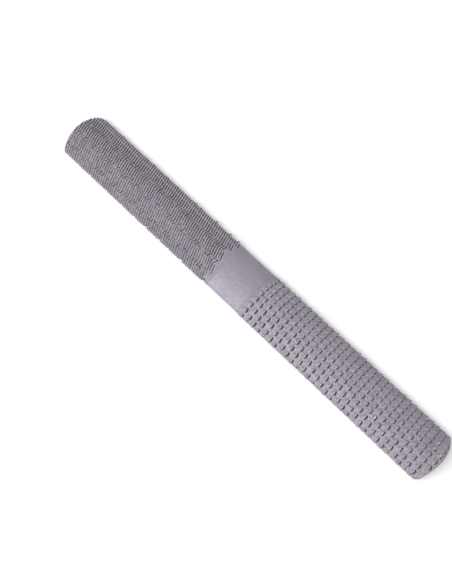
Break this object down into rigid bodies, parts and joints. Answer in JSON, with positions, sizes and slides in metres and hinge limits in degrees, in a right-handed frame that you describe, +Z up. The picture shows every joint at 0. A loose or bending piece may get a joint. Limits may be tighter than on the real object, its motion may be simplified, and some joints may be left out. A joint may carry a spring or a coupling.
{
  "type": "wood rasp",
  "caption": "Straight half-round wood rasp with coarse rasp teeth on one end, file teeth on the other end and a plain band between them for the hand.",
  "frame": {"origin": "centre of the bar's footprint, at the height of the rasp tooth tips on its flat underside", "axes": "+X along the bar towards its rasp end, +Y across the bar, +Z up out of the half-round back"},
  "size_m": [0.2, 0.023, 0.0067],
  "materials": {
    "ground_steel": "satin, finely ground",
    "cut_steel": "as cut, toothed"
  },
  "bodies": {
    "root": {"bar_core": "ground_steel", "round_file_face": "cut_steel", "flat_file_face": "cut_steel", "round_rasp_face": "cut_steel", "flat_rasp_face": "cut_steel"}
  },
  "joints": []
}
